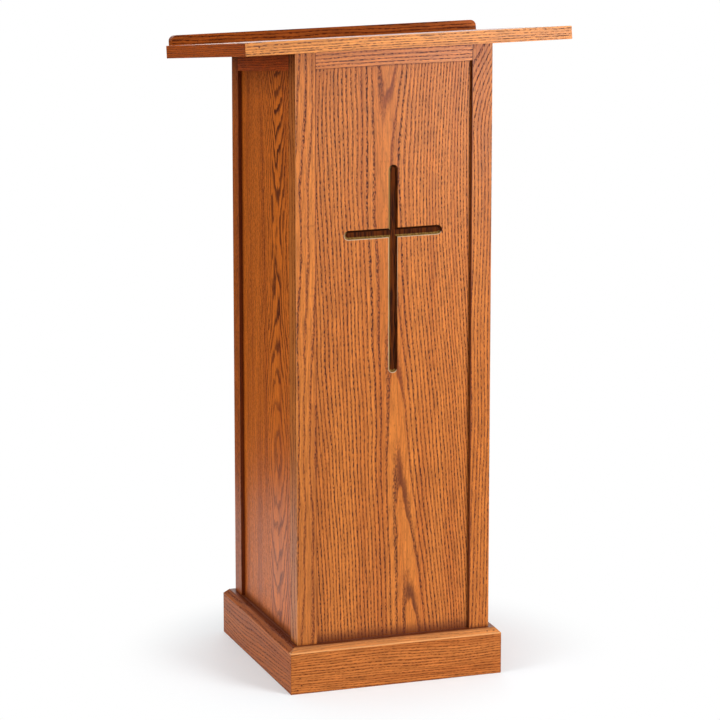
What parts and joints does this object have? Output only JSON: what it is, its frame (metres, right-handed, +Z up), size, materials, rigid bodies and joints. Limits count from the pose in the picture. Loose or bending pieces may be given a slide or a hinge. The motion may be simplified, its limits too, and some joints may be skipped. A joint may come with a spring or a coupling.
{
  "type": "lectern",
  "caption": "Free-standing oak lectern: framed column on a plinth, sloping desk with book stop, open back with shelf, cross cut in the front panel.",
  "frame": {"origin": "bottom centre of the whole outline, on the floor", "axes": "+Z up, the decorated front faces -Y, the reader stands on the +Y side, +X is on the reader's left"},
  "size_m": [0.624, 0.5016, 1.2421],
  "materials": {
    "frame_oak": "red-brown stain under satin lacquer, open pores",
    "panel_oak": "veneered oak with cathedral figure, red-brown stain under satin lacquer",
    "plinth_oak": "red-brown stain under satin lacquer, open pores",
    "desk_oak": "golden-brown stain under satin lacquer",
    "stop_oak": "dark red-brown stain under satin lacquer",
    "inner_oak": "thin stain under matt lacquer",
    "steel": "zinc plated",
    "pin_steel": "dull wire"
  },
  "bodies": {
    "root": {"post_front_left": "frame_oak", "post_front_right": "frame_oak", "post_rear_left": "frame_oak", "post_rear_right": "frame_oak", "front_top_rail": "frame_oak", "front_bottom_rail": "frame_oak", "rear_top_rail": "frame_oak", "rear_bottom_rail": "frame_oak", "left_top_rail": "frame_oak", "left_bottom_rail": "frame_oak", "right_top_rail": "frame_oak", "right_bottom_rail": "frame_oak", "front_panel": "panel_oak", "left_panel": "panel_oak", "right_panel": "panel_oak", "plinth_front": "plinth_oak", "plinth_right": "plinth_oak", "plinth_rear": "plinth_oak", "plinth_left": "plinth_oak", "plinth_screws": "steel", "plinth_pins": "pin_steel", "bottom_board": "inner_oak", "bottom_cleat_left": "inner_oak", "bottom_cleat_right": "inner_oak", "shelf": "inner_oak", "shelf_nosing": "frame_oak", "shelf_cleat_left": "inner_oak", "shelf_cleat_right": "inner_oak", "cleat_screws": "steel", "desk_board": "desk_oak", "desk_lipping_front": "desk_oak", "desk_lipping_rear": "desk_oak", "desk_lipping_left": "desk_oak", "desk_lipping_right": "desk_oak", "lipping_pins": "pin_steel", "desk_cleat_left": "inner_oak", "desk_cleat_right": "inner_oak", "desk_cleat_screws": "steel", "desk_screws": "steel", "book_stop": "stop_oak", "book_stop_screws": "steel"}
  },
  "joints": []
}
